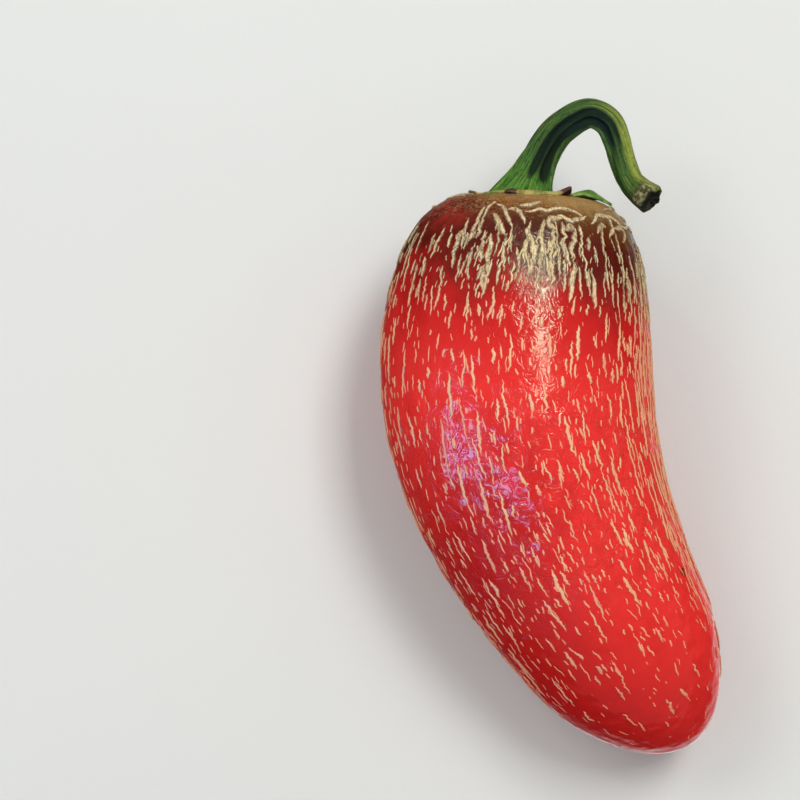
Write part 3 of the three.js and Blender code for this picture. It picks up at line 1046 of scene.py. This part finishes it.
table_white, wire = new_finish("table_white")
place = wire.node("ShaderNodeTexCoord", {}, {}, "Object")
# on the table this is only a faint random cloud in the paper's tone
cloud_and_painted_shade = place.noise(9.0, 3.0)
colour = cloud_and_painted_shade.blend(PAPER, PAPER_SHADE)
tooth = place.noise(900.0, 2.0)
end_finish(wire, colour, 0.55 + cloud_and_painted_shade * 0.1, tooth, PAPER_RELIEF, {"Specular IOR Level": 0.0})
table_mesh = bpy.data.meshes.new("table")
corners = [(x * HALF_TABLE, y * HALF_TABLE, 0) for x, y in ((-1, -1), (1, -1), (1, 1), (-1, 1))]
table_mesh.from_pydata(corners, [], [(0, 1, 2, 3)])
table_mesh.materials.append(table_white)
table = bpy.data.objects.new("table", table_mesh)
bpy.context.collection.objects.link(table)
table.visible_glossy = False
print("table made")

# %% [markdown]
# ## The light
# The pod shows three kinds of gloss: a cream streak down from the shoulder, violet patches on its left,
# where the crinkles mirror the sky, and a milky rim that mirrors the floor. One big lamp would give a
# single round spot. So two lamps light the colours and stay out of the gloss, narrow ones are seen in the
# gloss alone, each placed where the pod mirrors it to the camera, and the world fills the shadows.

# %% Helpers for the lamps
POD_MIDDLE = Vector((0, 0, 0.02))
POD_TOP = Vector((-0.01, -0.006, 0.033))
PANE_DISTANCE = 0.6


def strip_light(name, one_end, other_end, width, power, colour=(1.0, 1.0, 1.0)):
    """An area light stretched between two points, in metres, that faces the pod."""
    one_end, other_end = Vector(one_end), Vector(other_end)
    light = bpy.data.lights.new(name, "AREA")
    light.shape = "RECTANGLE"
    light.size, light.size_y = width, (other_end - one_end).length
    light.energy = power
    light.color = colour
    lamp = bpy.data.objects.new(name, light)
    bpy.context.collection.objects.link(lamp)
    lamp.location = (one_end + other_end) / 2
    facing = (lamp.location - POD_MIDDLE).normalized()
    sideways = (other_end - one_end).cross(facing).normalized()
    lamp.rotation_euler = Matrix((sideways, facing.cross(sideways), facing)).transposed().to_euler()
    return lamp


def toward(azimuth, elevation):
    """A point at the panes' distance from the pod; azimuth turns from the stem's side to the right."""
    a, e = math.radians(azimuth), math.radians(elevation)
    direction = Vector((math.sin(a) * math.cos(e), math.cos(a) * math.cos(e), math.sin(e)))
    return POD_TOP + direction * PANE_DISTANCE


print("lamp helpers are ready")

# %% Lamps
SUN = (1.0, 0.99, 0.97)
GLARE = (0.6, 0.95, 0.68)
SOFT_GLARE = (0.8, 1.0, 0.78)
SKY = (0.02, 0.45, 0.95)
PANE_POWER = 165  # watts from a square metre
PANES = [  # azimuth and elevation of one end and of the other, and width, in degrees
    (-103, 22, -103, 34, 4), (-110, 36, -115, 47, 6), (-109, 16, -109, 28, 4),
    (-117, 8, -118, 34, 6), (-125, 28, -149, 56, 5), (-142, 42, -166, 56, 3),
]

washes = [
    strip_light("key", (0.21, 0.12, 0.72), (0.21, 0.46, 0.72), 0.2, 3.4, SUN),
    strip_light("fill", toward(-75, 50), toward(-35, 50), 0.2, 0.85),
]
glints = [
    strip_light("streak", (0.21, -0.12, 0.79), (0.21, 0.57, 0.79), 0.14, 19.5, GLARE),
    strip_light("crest", (0.21, 0.22, 0.79), (0.21, 0.62, 0.79), 0.13, 10.0, SOFT_GLARE),
]
for one_azimuth, one_elevation, other_azimuth, other_elevation, degrees_wide in PANES:
    ends = toward(one_azimuth, one_elevation), toward(other_azimuth, other_elevation)
    width = PANE_DISTANCE * math.radians(degrees_wide)
    power = PANE_POWER * width * (ends[1] - ends[0]).length
    glints.append(strip_light("pane", *ends, width, power, SKY))
for lamp in washes:
    lamp.visible_glossy = False
for lamp in glints:
    lamp.visible_diffuse = False
print(len(washes), "lamps for the colours and", len(glints), "for the gloss")

# %% World
OVERHEAD = 0.48
FLOOR_GLOW = 0.9
GLOOM = 0.02

world = bpy.data.worlds.new("studio")
world.use_nodes = True
world.node_tree.nodes.clear()
wire = Wire(world.node_tree)
east, north, height = wire.node("ShaderNodeTexCoord", {}, {}, "Generated").xyz()
above = height.ramp(-0.05, -0.01)
floor = east.ramp(-0.3, 0.15) * north.ramp(0.5, 0.1) * height.ramp(-0.55, -0.8) * FLOOR_GLOW + GLOOM
strength = above * OVERHEAD + (1 - above) * floor
sky = wire.node("ShaderNodeBackground", {}, {"Color": (1.0, 1.0, 1.0, 1.0), "Strength": strength})
wire.tree.links.new(sky.socket, wire.tree.nodes.new("ShaderNodeOutputWorld").inputs["Surface"])
bpy.context.scene.world = world
bpy.context.scene.view_settings.view_transform = "Standard"
print("world made")

# %% [markdown]
# ## The camera
# The pepper is seen from almost straight above, with the stem at the top and clear floor on the left. A
# shifted lens could frame that too, but other views would keep the shift, so the camera just aims beside
# the pod.

# %% Camera
AIM = Vector((-0.02162, 0.00401, 0.019))
ELEVATION = math.radians(86)
DISTANCE = 0.33
PICTURE = 0.8 / 7  # metres across the picture at the aim point

back = Vector((0, -math.cos(ELEVATION), math.sin(ELEVATION)))
lens = bpy.data.cameras.new("camera")
lens.sensor_width = 36.0
lens.lens = lens.sensor_width * DISTANCE / PICTURE
lens.clip_start = 0.01
camera = bpy.data.objects.new("camera", lens)
bpy.context.collection.objects.link(camera)
camera.location = AIM + back * DISTANCE
camera.rotation_euler = back.to_track_quat("Z", "Y").to_euler()
bpy.context.scene.camera = camera
print("camera lens", round(lens.lens, 2), "mm")

# %% [markdown]
# ## Tidy up
# The last cell removes helper meshes that nothing uses any more.

# %% Finish
for helper in [item for item in bpy.data.meshes if item.users == 0]:
    bpy.data.meshes.remove(helper)
